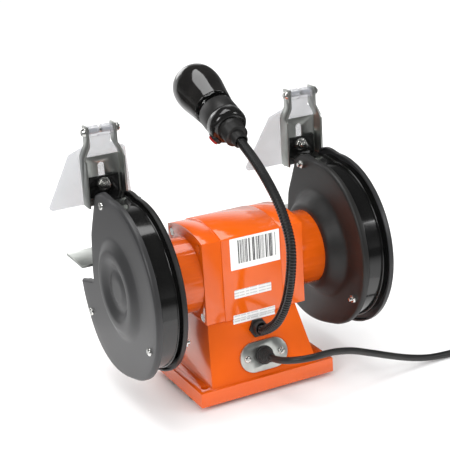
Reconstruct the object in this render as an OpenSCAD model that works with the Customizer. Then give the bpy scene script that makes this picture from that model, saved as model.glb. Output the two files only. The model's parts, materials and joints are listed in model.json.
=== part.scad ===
// Bench grinder for two 150 mm wheels, with a work lamp on a flexible neck.
// X runs along the shaft, the operator stands on the -Y side, Z is up.
// The origin is on the bench, under the middle of the shaft.

/* [Wheels] */
// Outside diameter of a new grinding wheel
wheel_diameter = 150; // [140:2:156]
// Thickness of a grinding wheel
wheel_width = 16; // [13:1:18]
// Diameter of the shaft where a wheel sits
arbor_diameter = 12.7; // [10:0.1:14]

/* [Guards] */
// Room left outside the wheel, up to the rim of the guard
guard_margin = 15; // [14:0.5:20]
// Distance across the guard, over both covers
guard_width = 34; // [31:1:38]
// Thickness of the pressed covers and the band
sheet = 1.5; // [1:0.1:2]
// How far the lower front of the guard swells out
scroll_rise = 21; // [16:1:24]

/* [Motor] */
// Height of the shaft over the bench
shaft_height = 124; // [120:1:135]
// Length of the plain middle housing
housing_length = 65; // [58:1:72]
// Distance of the middle housing's centre to the right of the motor's centre
housing_shift = 3.5; // [0:0.5:5]
// Width of the motor, front to rear
housing_width = 80; // [76:1:88]
// Length of the right end bell
bell_length = 20; // [16:1:26]
// Length of the left end bell
left_bell_length = 24.5; // [20:0.5:28]
// Length of the round neck on each end bell
neck_length = 24; // [20:1:30]
// Outside radius of the round neck
neck_radius = 38; // [35:0.5:40]

/* [Base] */
// Width of the foot plate, along the shaft
base_width = 149; // [144:1:170]
// Depth of the foot plate, front to rear
base_depth = 110; // [106:1:130]
// Height of the edge of the foot plate
base_height = 15; // [10:1:18]
// Height of the rubber feet
foot_height = 5; // [3:0.5:8]
// Spacing of the bolt holes along the shaft
hole_pitch_x = 130; // [128:1:134]
// Spacing of the bolt holes front to rear
hole_pitch_y = 86; // [80:1:90]
// Diameter of the bolt holes
hole_diameter = 8; // [6:0.5:9]

/* [Eye shields] */
// Width of a shield at its lower edge
shield_width = 90; // [70:2:100]
// Length of a shield below its hinge
shield_length = 99; // [80:1:105]
// Lean of a shield away from the wheel
shield_lean = 28; // [24:1:34]

/* [Tool rests] */
// Depth of a tool rest plate, front to rear
rest_depth = 46; // [36:1:50]
// Gap from the wheel to the tool rest as drawn
rest_gap = 9; // [8:0.5:12]

/* [Lamp] */
// Diameter of the flexible neck
neck_diameter = 10; // [8:0.5:11]
// Diameter of the reflector bulb
bulb_diameter = 50; // [46:1:60]
// Diameter of the lamp holder
holder_diameter = 39; // [36:1:44]

/* [Cord] */
// Diameter of the mains cord
cord_diameter = 7; // [6:0.5:8]

/* [Hidden] */
r_wheel = wheel_diameter / 2;
r_guard = r_wheel + guard_margin;
r_arbor = arbor_diameter / 2;
r_shaft = r_arbor + 2.15;
x_bell = housing_length / 2 + housing_shift;
x_bell_left = housing_length / 2 - housing_shift;
x_neck_left = x_bell_left + left_bell_length;
x_neck = x_bell + bell_length;
x_boss = x_neck + neck_length;
dish = 15;
x_in = x_boss + dish;
x_out = x_in + guard_width;
x_mid = (x_in + x_out) / 2 - 3;
x_wheel_a = x_mid - wheel_width / 2;
x_wheel_b = x_mid + wheel_width / 2;
flange_thickness = 3;
x_seat = x_wheel_a - flange_thickness;
x_end = x_wheel_b + flange_thickness + 7;
bell_wall = 4;
shell = 3;
za = shaft_height;
z_plate = foot_height;
z_top = foot_height + base_height;
z_seat = za - 42;
hw = housing_width / 2;
side_top = 43;
arch_drop = -60;
bell_inset = 0.8;
r_arch = sqrt(hw * hw + (side_top - arch_drop) * (side_top - arch_drop));
z_slope = z_seat - z_top;
ped_left0 = 58;
ped_left1 = 43;
ped_right0 = 60;
ped_right1 = 55;
ped_y0 = 50;
ped_y1 = 38;
lean = atan((ped_y0 - ped_y1) / z_slope);
band_in = 8;
rim = 6;
x_web = (x_in + x_out) / 2;
arm_half = 13.5;
flange_half = guard_width / 2 + 2;
hinge_y = -58;
hinge_z = r_guard + 55;
web_y = -64.8;
tab_y = -62.5;
clamp_z = r_guard;
gap = 0.3;
rest_top = za;
y_rest = -(r_wheel + rest_gap);
r_neck = neck_diameter / 2;
r_cord = cord_diameter / 2;

// centre line of the flexible neck, from the rear of the pedestal to the lamp
n0 = [2, ped_y1 + 2.1, za - 56];
n1 = [0, 60, 73];
n2 = [-1.5, 76, 86];
n3 = [-5, 90, 111];
n4 = [-7, 98, 143];
n5 = [-9, 96, 172];
n6 = [-8.5, 84, 198];
n7 = [-7, 66, 219];
n8 = [-6.5, 38, 238];
n9 = [-7, 1.5, 254];
lamp_dir = [0, -0.932, 0.362];

// lower side of the cord, from the strain relief over the bench to the coil
exit_z = 40;
exit_y = ped_y1 + (z_seat - exit_z) * tan(lean);
coil_x = -258;
coil_y = 126;
coil_r = 38;

function ramp(t) = let(u = min(1, max(0, t))) u * u * (3 - 2 * u);
function guard_r(a, d) = r_guard - d + scroll_rise * ramp((-75 - a) / 65) + 6 * ramp((a - 92) / 18);
function guard_edge(d, a0, a1) =
  [for (i = [0:72]) let(a = a0 + (a1 - a0) * i / 72) guard_r(a, d) * [cos(a), sin(a)]];
function front_edge(d) =
  [[-66 + d, 40], [-72 + d, 0], [-72 + d, -13 - d / 3]];

// turns a flat shape in (y, z) into a plate along x, from x0, t thick
module slab(x0, t) {
  translate([x0, 0, za])
    rotate([90, 0, 90])
      linear_extrude(t)
        children();
}

module rod(x0, x1, r) {
  translate([x0, 0, za])
    rotate([0, 90, 0])
      cylinder(h = x1 - x0, r = r, $fn = 64);
}

module both_sides() {
  children();
  mirror([1, 0, 0])
    children();
}

// ---- base ----

// the pedestal's solid from z0 to z1, drawn in by d
module frustum(d, z0, z1) {
  intersection() {
    rotate([90, 0, 0])
      linear_extrude(300, center = true)
        polygon([[-ped_left0 + d, z0], [ped_right0 - d, z0], [ped_right1 - d, z1],
          [-ped_left1 + d, z1]]);
    rotate([90, 0, 90])
      linear_extrude(300, center = true)
        polygon([[-ped_y0 + d, z0], [ped_y0 - d, z0], [ped_y1 - d, z1], [-ped_y1 + d, z1]]);
  }
}

// places a child at height z on the sloping front (side -1) or rear (side 1), facing out along +Z
module on_slope(side, x, z) {
  translate([x, side * (ped_y1 + (z_seat - z) * tan(lean)), z])
    rotate([side * -(90 - lean), 0, 0])
      children();
}

module base_casting() {
  color([0.93, 0.33, 0.05])
    difference() {
      union() {
        translate([-base_width / 2, -base_depth / 2, z_plate])
          cube([base_width, base_depth, base_height]);
        frustum(0, z_top, z_seat);
      }
      frustum(3, z_top - 1, z_seat - 4);
      translate([-55, -47, z_plate - 1])
        cube([110, 94, base_height + 1.01]);
      translate([0, 0, z_seat - 5])
        cylinder(h = 6, r = 12, $fn = 32);
      for (x = [-1, 1], y = [-1, 1])
        translate([x * hole_pitch_x / 2, y * hole_pitch_y / 2, z_plate - 1])
          cylinder(h = base_height + 2, d = hole_diameter, $fn = 32);
      on_slope(1, 0, exit_z)
        translate([0, 0, -8])
          cylinder(h = 12, r = 8.5, $fn = 32);
      on_slope(1, n0[0], n0[2])
        translate([0, 0, -8])
          cylinder(h = 12, r = 5, $fn = 32);
      on_slope(-1, 0, 50)
        translate([-14, -11, -8])
          cube([28, 22, 12]);
    }
}

module bottom_plate() {
  color([0.35, 0.35, 0.36])
    translate([-55, -47, z_plate])
      cube([110, 94, 1.5]);
}

module rubber_feet() {
  color([0.05, 0.05, 0.05])
    for (x = [-1, 1], y = [-1, 1])
      translate([x * 64, y * 21, 0])
        cylinder(h = foot_height, r1 = 8, r2 = 9, $fn = 32);
  // pad under the middle of the bottom plate
  color([0.05, 0.05, 0.05])
    cylinder(h = foot_height, r1 = 11, r2 = 12, $fn = 32);
}

module plate_screws() {
  color([0.7, 0.7, 0.7])
    for (x = [-1, 1], y = [-1, 1])
      translate([x * 48, y * 40, z_plate - 1.5])
        cylinder(h = 1.5, r = 3.5, $fn = 32);
}

// ---- motor ----

module arch(d) {
  intersection() {
    translate([-hw + d, -42 + d])
      square([2 * hw - 2 * d, 120]);
    translate([0, arch_drop])
      circle(r = r_arch - d, $fn = 240);
  }
}

module motor_housing() {
  color([0.93, 0.33, 0.05])
    slab(-x_bell_left, housing_length)
      difference() {
        arch(0);
        arch(shell);
      }
}

module end_bell(x0, x1) {
  difference() {
    union() {
      slab(x0, x1 - x0)
        difference() {
          arch(bell_inset);
          arch(bell_inset + shell);
        }
      slab(x1 - bell_wall, bell_wall)
        arch(bell_inset);
      rod(x1 - bell_wall, x_boss, neck_radius);
    }
    rod(x1 - bell_wall - 1, x_boss - 4, neck_radius - 3.5);
    rod(x_boss - 5, x_boss + 1, 10);
    for (y = [-30, 30], z = [-36, 36])
      translate([0, y, z]) {
        rod(x1 - bell_wall - 1, x1 + 1, 2.2);
        rod(x1 - 2, x1 + 1, 4.5);
      }
    for (a = [90, 210, 330])
      translate([0, 29 * cos(a), 29 * sin(a)])
        rod(x_boss - 5, x_boss + 1, 2.5);
  }
  difference() {
    rod(x_boss - 20, x_boss - 4, 24);
    rod(x_boss - 21, x_boss - 3, 20);
  }
}

module right_end_bell() {
  color([0.93, 0.33, 0.05])
    end_bell(x_bell, x_neck);
}

module left_end_bell() {
  color([0.93, 0.33, 0.05])
    mirror([1, 0, 0])
      end_bell(x_bell_left, x_neck_left);
}

module through_bolts() {
  color([0.6, 0.6, 0.62])
    for (y = [-30, 30], z = [-36, 36])
      translate([0, y, z]) {
        rod(-x_neck_left + 2, x_neck - 2, 2.2);
        rod(x_neck - 2, x_neck, 4);
        rod(-x_neck_left, -x_neck_left + 2, 4);
      }
}

module stator_core() {
  color([0.45, 0.46, 0.48])
    slab(-20, 40)
      difference() {
        intersection() {
          circle(r = 43, $fn = 96);
          translate([-hw + shell, -39])
            square([2 * hw - 2 * shell, 90]);
        }
        circle(r = 24, $fn = 64);
      }
}

module ring(x0, x1, ra, rb) {
  difference() {
    rod(x0, x1, rb);
    rod(x0 - 1, x1 + 1, ra);
  }
}

module windings() {
  color([0.6, 0.28, 0.12]) {
    ring(20, 31, 25, 35);
    ring(-31, -20, 25, 35);
  }
}

module rotor() {
  color([0.6, 0.6, 0.62])
    ring(-23, 23, r_shaft, 23.5);
}

module shaft() {
  color([0.7, 0.7, 0.72]) {
    rod(-x_seat, x_seat, r_shaft);
    rod(x_seat, x_end, r_arbor);
    rod(-x_end, -x_seat, r_arbor);
  }
}

module bearings() {
  color([0.75, 0.75, 0.77])
    both_sides()
      ring(x_boss - 18, x_boss - 6, r_shaft + 0.05, 20);
}

module capacitor() {
  color([0.85, 0.85, 0.82]) {
    translate([-25, 12, 24])
      rotate([0, 90, 0])
        cylinder(h = 50, r = 15, $fn = 48);
    translate([-12, 4, z_plate + 1.5])
      cube([24, 16, 10]);
  }
}

// ---- main switch, on the front of the pedestal ----

module switch_body() {
  color([0.04, 0.04, 0.04])
    on_slope(-1, 0, 50)
      difference() {
        union() {
          translate([-17, -14, 0])
            cube([34, 28, 2]);
          translate([-14, -11, -16])
            cube([28, 22, 16]);
        }
        rotate([0, 90, 0])
          cylinder(h = 24.6, r = 10.4, center = true, $fn = 64);
      }
}

module switch_rocker() {
  color([0.7, 0.05, 0.04])
    on_slope(-1, 0, 50)
      rotate([8, 0, 0])
        rotate([90, 0, 90])
          linear_extrude(24, center = true)
            polygon([[-8.6, -4], [8.6, -4], [8.9, 4.4], [0, 2.2], [-8.9, 4.4]]);
}

// ---- wheel guards ----

module cover_sheet(x0, d) {
  slab(x0, sheet)
    difference() {
      polygon(concat(guard_edge(d, -168, 118), front_edge(d)));
      circle(r = 58, $fn = 96);
      hole_row();
    }
}

module hole_row() {
  for (p = [[-26, 79], [67.4, -38.9], [-84, -52]])
    translate(p * (r_guard / 90))
      circle(r = 2, $fn = 24);
}

module cover_rim(x0, t, d) {
  slab(x0, t)
    difference() {
      polygon(concat(guard_edge(d, -168, 118), front_edge(d)));
      polygon(concat(guard_edge(d + sheet, -167, 117), front_edge(d + sheet)));
      translate([-250, -13])
        square([210, 250]);
      translate([-130, -60])
        rotate(-18)
          square([80, 60]);
    }
}

// pressed ring in the outer cover: height of the sheet over the flat, at radius r
function press(r) = 2 * ramp((24 - r) / 14) + 5 * ramp((r - 20) / 14) * (1 - ramp((r - 38) / 14));

module outer_guard() {
  cover_sheet(x_out - sheet, 0);
  cover_rim(x_out - rim, rim - sheet, 0);
  translate([x_out, 0, za])
    rotate([0, 90, 0])
      rotate_extrude($fn = 96)
        polygon(concat([for (i = [0:20]) [i * 2.9, press(i * 2.9)]],
          [for (i = [20:-1:0]) [i * 2.9, press(i * 2.9) - sheet]]));
}

module inner_guard() {
  cover_sheet(x_in, 3);
  cover_rim(x_in + sheet, 4.5, 3);
  translate([x_boss, 0, za])
    rotate([0, 90, 0])
      rotate_extrude($fn = 96)
        polygon([[12, 0], [41, 0], [45, 3], [55, dish - 2], [58, dish], [58, dish + sheet],
          [54, dish + sheet], [43.6, 4.5], [40, sheet], [12, sheet]]);
}

module inner_guard_cut() {
  difference() {
    inner_guard();
    for (a = [90, 210, 330])
      translate([0, 29 * cos(a), 29 * sin(a)])
        rod(x_boss - 1, x_boss + 3, 2.5);
  }
}

module guard_band() {
  slab(x_in + sheet, guard_width - 2 * sheet)
    polygon(concat(guard_edge(band_in, -162, 112),
      [for (i = [72:-1:0]) let(a = -162 + 274 * i / 72)
        guard_r(a, band_in + sheet) * [cos(a), sin(a)]]));
}

module right_inner_guard() {
  color([0.03, 0.03, 0.03])
    inner_guard_cut();
}

module left_inner_guard() {
  color([0.03, 0.03, 0.03])
    mirror([1, 0, 0])
      inner_guard_cut();
}

module right_guard_band() {
  color([0.03, 0.03, 0.03])
    guard_band();
}

module left_guard_band() {
  color([0.03, 0.03, 0.03])
    mirror([1, 0, 0])
      guard_band();
}

module right_outer_guard() {
  color([0.05, 0.05, 0.05])
    outer_guard();
}

module left_outer_guard() {
  color([0.05, 0.05, 0.05])
    mirror([1, 0, 0])
      outer_guard();
}

module guard_screws() {
  color([0.8, 0.8, 0.8])
    both_sides()
      for (p = [[-26, 79], [67.4, -38.9], [-84, -52]])
        translate([0, p[0] * r_guard / 90, p[1] * r_guard / 90]) {
          rod(x_in - 7, x_out, 2);
          rod(x_out, x_out + 2.4, 4);
          translate([x_in - 3.5, 0, za])
            rotate([0, 90, 0])
              cylinder(h = 3.5, r = 4.4, $fn = 6);
        }
}

module cover_bolts() {
  color([0.7, 0.7, 0.7])
    both_sides()
      for (a = [90, 210, 330])
        translate([0, 29 * cos(a), 29 * sin(a)]) {
          rod(x_boss - 7, x_boss + sheet, 2.5);
          rod(x_boss + sheet, x_boss + sheet + 3, 4.5);
        }
}

// ---- wheels ----

module wheel() {
  ring(x_wheel_a, x_wheel_b, r_arbor, r_wheel);
}

module flanges() {
  ring(x_seat, x_wheel_a, r_arbor, 25);
  ring(x_wheel_b, x_wheel_b + flange_thickness, r_arbor, 25);
}

module nut() {
  difference() {
    translate([x_wheel_b + flange_thickness, 0, za])
      rotate([0, 90, 0])
        cylinder(h = 6.5, r = 11, $fn = 6);
    rod(x_wheel_b, x_end + 2, r_arbor);
  }
}

module right_wheel() {
  color([0.55, 0.55, 0.55])
    wheel();
}

module left_wheel() {
  color([0.45, 0.45, 0.46])
    mirror([1, 0, 0])
      wheel();
}

module right_flanges() {
  color([0.7, 0.7, 0.7])
    flanges();
}

module left_flanges() {
  color([0.7, 0.7, 0.7])
    mirror([1, 0, 0])
      flanges();
}

module right_nut() {
  color([0.75, 0.75, 0.75])
    nut();
}

module left_nut() {
  color([0.75, 0.75, 0.75])
    mirror([1, 0, 0])
      nut();
}

// ---- eye shields ----

module shield_tab() {
  difference() {
    union() {
      translate([x_in + 0.5, tab_y, za + clamp_z - 12])
        cube([guard_width - 1, 2.5, 20]);
      translate([x_in + sheet, tab_y + 2.5, za + clamp_z - 12])
        cube([guard_width - 2 * sheet, 23, 2.5]);
    }
    translate([x_web, tab_y - 1, za + clamp_z])
      rotate([-90, 0, 0])
        cylinder(h = 5, r = 3, $fn = 32);
  }
}

module bracket_arm() {
  translate([x_web, web_y + 13.6, za])
    rotate([90, 0, 0])
      linear_extrude(13.6)
        polygon([[flange_half, r_guard + 27], [flange_half + 2, r_guard + 27],
          [flange_half + 2, r_guard + 31], [arm_half + 2, r_guard + 42],
          [arm_half + 2, hinge_z + 6], [arm_half, hinge_z + 6],
          [arm_half, r_guard + 41.4], [flange_half, r_guard + 30.4]]);
}

module shield_bracket() {
  difference() {
    union() {
      translate([x_web - flange_half, web_y, za + r_guard - 22])
        cube([2 * flange_half, 2, 50]);
      for (s = [-1, 1])
        translate([x_web + s * (flange_half + 1) - 1, web_y, za + r_guard - 20])
          cube([2, 15.5, 47.5]);
      bracket_arm();
      translate([2 * x_web, 0, 0])
        mirror([1, 0, 0])
          bracket_arm();
    }
    translate([x_web - 3.5, web_y - 1, za + clamp_z - 10])
      cube([7, 4, 28]);
    for (z = [-10, 18])
      translate([x_web, web_y - 1, za + clamp_z + z])
        rotate([-90, 0, 0])
          cylinder(h = 4, r = 3.5, $fn = 32);
    translate([0, hinge_y, hinge_z])
      rod(x_web - 20, x_web + 20, 2.5);
  }
}

module hinge_bolt() {
  translate([0, hinge_y, hinge_z]) {
    rod(x_web - 21, x_web + arm_half + 2, 2.5);
    translate([x_web + arm_half + 2, 0, za])
      rotate([0, 90, 0])
        cylinder(h = 3.5, r1 = 5, r2 = 3, $fn = 48);
    translate([x_web - arm_half - 6, 0, za])
      rotate([0, 90, 0])
        cylinder(h = 4, r = 4.6, $fn = 6);
  }
}

module shield() {
  hs = shield_width / 2;
  translate([x_web, hinge_y, za + hinge_z])
    rotate([-shield_lean, 0, 0]) {
      difference() {
        union() {
          rotate([90, 0, 0])
            linear_extrude(3, center = true)
              offset(2)
                offset(-2)
                  polygon([[-12.6, 0], [-12.6, -18], [-30, -27], [-hs, -shield_length + 3],
                    [-hs + 4, -shield_length], [hs - 4, -shield_length],
                    [hs, -shield_length + 3], [30, -27], [12.6, -18], [12.6, 0]]);
          rotate([0, 90, 0])
            cylinder(h = 25.2, r = 5.6, center = true, $fn = 48);
        }
        rotate([0, 90, 0])
          cylinder(h = 40, r = 2.8, center = true, $fn = 48);
        translate([-1.5, -8, -7])
          cube([3, 16, 16]);
      }
    }
}

module right_shield_tab() {
  color([0.05, 0.05, 0.05])
    shield_tab();
}

module left_shield_tab() {
  color([0.05, 0.05, 0.05])
    mirror([1, 0, 0])
      shield_tab();
}

module right_shield_bracket() {
  color([0.75, 0.76, 0.74])
    shield_bracket();
}

module left_shield_bracket() {
  color([0.75, 0.76, 0.74])
    mirror([1, 0, 0])
      shield_bracket();
}

module right_hinge_bolt() {
  color([0.8, 0.8, 0.8])
    hinge_bolt();
}

module left_hinge_bolt() {
  color([0.8, 0.8, 0.8])
    translate([-2 * x_web, 0, 0])
      hinge_bolt();
}

module right_shield() {
  color([0.85, 0.88, 0.9, 0.4])
    shield();
}

module left_shield() {
  color([0.85, 0.88, 0.9, 0.4])
    mirror([1, 0, 0])
      shield();
}

module clamp_bolts() {
  color([0.8, 0.8, 0.8])
    for (s = [-1, 1])
      translate([s * x_web, 0, za + clamp_z])
        rotate([-90, 0, 0]) {
          translate([0, 0, web_y - gap])
            cylinder(h = 16, r = 3, $fn = 32);
          translate([0, 0, web_y - gap - 3.5])
            cylinder(h = 3.5, r = 5.5, $fn = 32);
          translate([0, 0, tab_y + 2.5])
            cylinder(h = 1.2, r = 6.5, $fn = 32);
          translate([0, 0, tab_y + 3.7])
            cylinder(h = 5, r = 5.4, $fn = 6);
        }
}

// ---- tool rests ----

bolt_y = y_rest - 16;
bolt_z = -12;
arm_x = x_in - 3;

module rest_arm() {
  difference() {
    slab(arm_x, 3)
      polygon([[bolt_y - 8, -4], [bolt_y + 10, -4], [-58, -36], [-58, -62], [-70, -62],
        [-77, -47], [bolt_y - 8, -22]]);
    translate([0, bolt_y, bolt_z])
      rod(arm_x - 1, arm_x + 4, 3);
    for (p = [[-66, -44], [-66, -56]])
      translate([0, p[0], p[1]])
        rod(arm_x - 1, arm_x + 4, 2);
  }
}

module tool_rest() {
  translate([arm_x - 3 - gap, y_rest - rest_depth, za - 3])
    cube([x_out + 6 - arm_x + 3 + gap, rest_depth, 3]);
  difference() {
    translate([arm_x - 3 - gap, y_rest - 40, za - 26])
      cube([3, 44, 24]);
    translate([arm_x - 4, bolt_y - 7.5, za + bolt_z - 3.3])
      cube([5, 20, 6.6]);
    for (y = [-7.5, 12.5])
      translate([0, bolt_y + y, bolt_z])
        rod(arm_x - 4, arm_x + 1, 3.3);
  }
}

module right_rest_arm() {
  color([0.05, 0.05, 0.05])
    rest_arm();
}

module left_rest_arm() {
  color([0.05, 0.05, 0.05])
    mirror([1, 0, 0])
      rest_arm();
}

module right_tool_rest() {
  color([0.72, 0.74, 0.72])
    tool_rest();
}

module left_tool_rest() {
  color([0.72, 0.74, 0.72])
    mirror([1, 0, 0])
      tool_rest();
}

module rest_bolts() {
  color([0.1, 0.1, 0.1])
    both_sides()
      translate([0, bolt_y, bolt_z]) {
        rod(arm_x - 12, arm_x + 3, 3);
        rod(arm_x + 3, arm_x + 7, 6);
        rod(arm_x - 5, arm_x - 3 - 2 * gap, 7);
        rod(arm_x - 16, arm_x - 5, 10);
      }
}

module arm_screws() {
  color([0.8, 0.8, 0.8])
    both_sides()
      for (p = [[-66, -44], [-66, -56]])
        translate([0, p[0], p[1]]) {
          rod(arm_x, arm_x + 3, 2);
          rod(arm_x - 2.2, arm_x, 3.8);
        }
}

// ---- work lamp ----

// point at distance s out from the rear of the pedestal, on the axis of the collar
function root(s) = [n0[0], ped_y1 + (z_seat - n0[2]) * tan(lean) + s * cos(lean), n0[2] + s * sin(lean)];

neck_points = [root(3), root(16), n2, n3, n4, n5, n6, n7, n8, n9];
function bez(p, t) = let(n = len(p) - 1, k = min(n - 1, floor(t)), u = t - k,
  a = k > 0 ? p[k - 1] : 2 * p[0] - p[1], b = p[k], c = p[k + 1],
  d = k + 2 <= n ? p[k + 2] : 2 * p[n] - p[n - 1])
  0.5 * (2 * b + (c - a) * u + (2 * a - 5 * b + 4 * c - d) * u * u + (3 * b - a - 3 * c + d) * u * u * u);
function unit(v) = v / norm(v);
function neck_way(t) = unit(bez(neck_points, min(9, t + 0.02)) - bez(neck_points, max(0, t - 0.02)));

// one tube round centres c with radii r, along the ways w, twelve sided
module tube(c, r, w) {
  n = len(c);
  rings = [for (i = [0:n - 1], k = [0:11]) let(s = unit(cross(w[i], [1, 0, 0])), u = cross(w[i], s))
    c[i] + r[i] * (cos(30 * k) * s + sin(30 * k) * u)];
  polyhedron(rings, concat(
    [for (i = [0:n - 2], k = [0:11])
      [i * 12 + k, i * 12 + (k + 1) % 12, (i + 1) * 12 + (k + 1) % 12, (i + 1) * 12 + k]],
    [[for (k = [11:-1:0]) k], [for (k = [0:11]) (n - 1) * 12 + k]]));
}

// a length of the flexible neck from knot a to knot b; it starts clear of the ball of the length before
module neck_part(a, b, first, last) {
  color([0.05, 0.05, 0.05]) {
    wa = neck_way(a);
    wb = neck_way(b);
    pa = bez(neck_points, a);
    pb = bez(neck_points, b);
    t0 = a + (first ? 0 : 0.25);
    mid = [for (i = [0:8]) t0 + (b - t0) * i / 8];
    start = first ? [] : [pa + (r_neck + gap) * wa];
    dome = last ? [] : [for (f = [30, 60, 80]) pb + r_neck * sin(f) * wb];
    c = concat(start, [for (t = mid) bez(neck_points, t)], dome);
    r = concat(first ? [] : [r_neck], [for (t = mid) r_neck], last ? [] : [for (f = [30, 60, 80]) r_neck * cos(f)]);
    w = concat(first ? [] : [wa], [for (t = mid) neck_way(t)], last ? [] : [wb, wb, wb]);
    tube(c, r, w);
  }
}

module neck_collar() {
  color([0.06, 0.06, 0.06])
    on_slope(1, n0[0], n0[2])
      difference() {
        union() {
          cylinder(h = 3, r = 10, $fn = 6);
          translate([0, 0, 3])
            cylinder(h = 7, r = r_neck + 2, $fn = 32);
          translate([0, 0, -6])
            cylinder(h = 6, r = 5, $fn = 32);
        }
        translate([0, 0, 3])
          cylinder(h = 8, r1 = r_neck + 0.1, r2 = r_neck + 1, $fn = 32);
      }
}

module neck_part_1() {
  neck_part(0, 3, true, false);
}

module neck_part_2() {
  neck_part(3, 5, false, false);
}

module neck_part_3() {
  neck_part(5, 7, false, false);
}

module neck_part_4() {
  neck_part(7, 8, false, false);
}

module neck_part_5() {
  neck_part(8, 9, false, true);
}

lamp_tilt = acos(lamp_dir[2] / norm(lamp_dir));

// places a child on the axis of the lamp, +Z pointing to the bulb
module on_lamp(s) {
  translate(n9)
    rotate([lamp_tilt, 0, 0])
      translate([0, 0, s])
        children();
}

r_holder = holder_diameter / 2;
r_bulb = bulb_diameter / 2;

// places a child at the lamp's button, +Z pointing out of the holder
module on_button() {
  on_lamp(20)
    rotate([0, 0, -45])
      rotate([0, 90, 0])
        children();
}

module lamp_holder() {
  color([0.05, 0.05, 0.05])
    difference() {
      union() {
        on_lamp(-9)
          cylinder(h = 9.5, r = r_neck + 2.6, $fn = 48);
        on_lamp(0)
          cylinder(h = 14.5, r = r_neck + 7, $fn = 48);
        on_lamp(14)
          cylinder(h = 5, r1 = r_holder - 5, r2 = r_holder, $fn = 64);
        on_lamp(19)
          cylinder(h = 27, r = r_holder, $fn = 64);
      }
      on_lamp(27)
        cylinder(h = 20, r = r_holder - 2, $fn = 64);
      on_lamp(-10)
        cylinder(h = 10.1, r = r_neck + 1.2, $fn = 48);
      on_button()
        cylinder(h = 30, r = 6, $fn = 32);
    }
}

module lamp_button() {
  color([0.8, 0.06, 0.04])
    on_button()
      translate([0, 0, 8])
        cylinder(h = r_holder - 8 + 2.5, r = 5.6, $fn = 32);
}

module bulb() {
  color([0.03, 0.03, 0.03])
    on_lamp(30)
      rotate_extrude($fn = 64)
        polygon([[0, 0], [13, 0], [13, 12], [r_holder - 3, 16.5], [r_bulb - 5, 20],
          [r_bulb - 4, 28], [r_bulb - 2.5, 38], [r_bulb - 0.6, 50], [r_bulb, 60],
          [r_bulb - 0.7, 67], [r_bulb - 3.5, 74], [r_bulb - 8.5, 79.5], [r_bulb - 16, 83.5],
          [0, 85]]);
}

// ---- mains cord ----

module gland_plate() {
  color([0.75, 0.76, 0.74])
    on_slope(1, 0, exit_z)
      linear_extrude(2.5)
        difference() {
          union() {
            square([22, 31], center = true);
            for (s = [-11, 11])
              translate([s, 0])
                circle(r = 15.5, $fn = 64);
          }
          circle(r = 8.5, $fn = 48);
        }
}

module gland_screws() {
  color([0.8, 0.8, 0.8])
    on_slope(1, 0, exit_z)
      for (s = [-19, 19])
        translate([s, 0, 2.5])
          cylinder(h = 2.2, r = 3.6, $fn = 32);
}

module relief_frame() {
  on_slope(1, 0, exit_z)
    children();
}

module strain_relief() {
  color([0.04, 0.04, 0.04])
    on_slope(1, 0, exit_z) {
      translate([0, 0, -5])
        cylinder(h = 9.5, r = 8.5, $fn = 48);
      translate([0, 0, 4.5])
        cylinder(h = 12.5, r1 = 8, r2 = r_cord + 1.2, $fn = 48);
    }
}

function exit_at(s) = [0, exit_y + s * cos(lean), exit_z + s * sin(lean)];
cord_points = [exit_at(17), exit_at(27), [-1.9, 83, 47.6], [-7.3, 92.2, 49.9], [-15.5, 98.9, 51.6],
  [-25.6, 102.4, 52.6], [-36.6, 102.2, 52.4], [-52, 99.2, 50], [-74, 94.5, 43.4], [-98, 90.2, 33],
  [-122, 87, 22.4], [-146, 85.2, 13], [-170, 84.5, 6.4], [-194, 84.4, 3.8], [-217, 84.4, 3.5],
  [-240, 84.5, 3.5]];

cord_steps = 60;
cord_line = [for (i = [0:cord_steps]) bez(cord_points, i * (len(cord_points) - 1) / cord_steps)];
function along(i) = unit(cord_line[min(cord_steps, i + 1)] - cord_line[max(0, i - 1)]);
function cord_side(i) = unit(cross([0, 0, 1], along(i)));
cord_ring = [for (i = [0:cord_steps], k = [0:9]) let(s = cord_side(i), u = cross(along(i), s))
  cord_line[i] + r_cord * (cos(36 * k) * s + sin(36 * k) * u)];
cord_faces = concat(
  [for (i = [0:cord_steps - 1], k = [0:9])
    [i * 10 + k, i * 10 + (k + 1) % 10, (i + 1) * 10 + (k + 1) % 10, (i + 1) * 10 + k]],
  [[for (k = [9:-1:0]) k], [for (k = [0:9]) cord_steps * 10 + k]]);

module cord() {
  color([0.04, 0.04, 0.04])
    polyhedron(cord_ring, cord_faces);
}

module cord_coil() {
  color([0.04, 0.04, 0.04])
    translate([coil_x, coil_y, 0])
      rotate_extrude($fn = 72)
        translate([coil_r - cord_diameter, 0])
          square([2 * cord_diameter, 3 * cord_diameter - 1.6]);
}

module plug() {
  color([0.04, 0.04, 0.04])
    translate([coil_x - 26, coil_y - 12, 3 * cord_diameter - 1.6]) {
      translate([-16, 0, 0])
        cube([32, 38, 27]);
      translate([0, 0, 13.5])
        rotate([90, 0, 0])
          cylinder(h = 22, r1 = 8, r2 = 4.7, $fn = 32);
      for (s = [-9.5, 9.5])
        translate([s, 38, 13.5])
          rotate([-90, 0, 0])
            cylinder(h = 19, r = 2.4, $fn = 24);
    }
}

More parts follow.
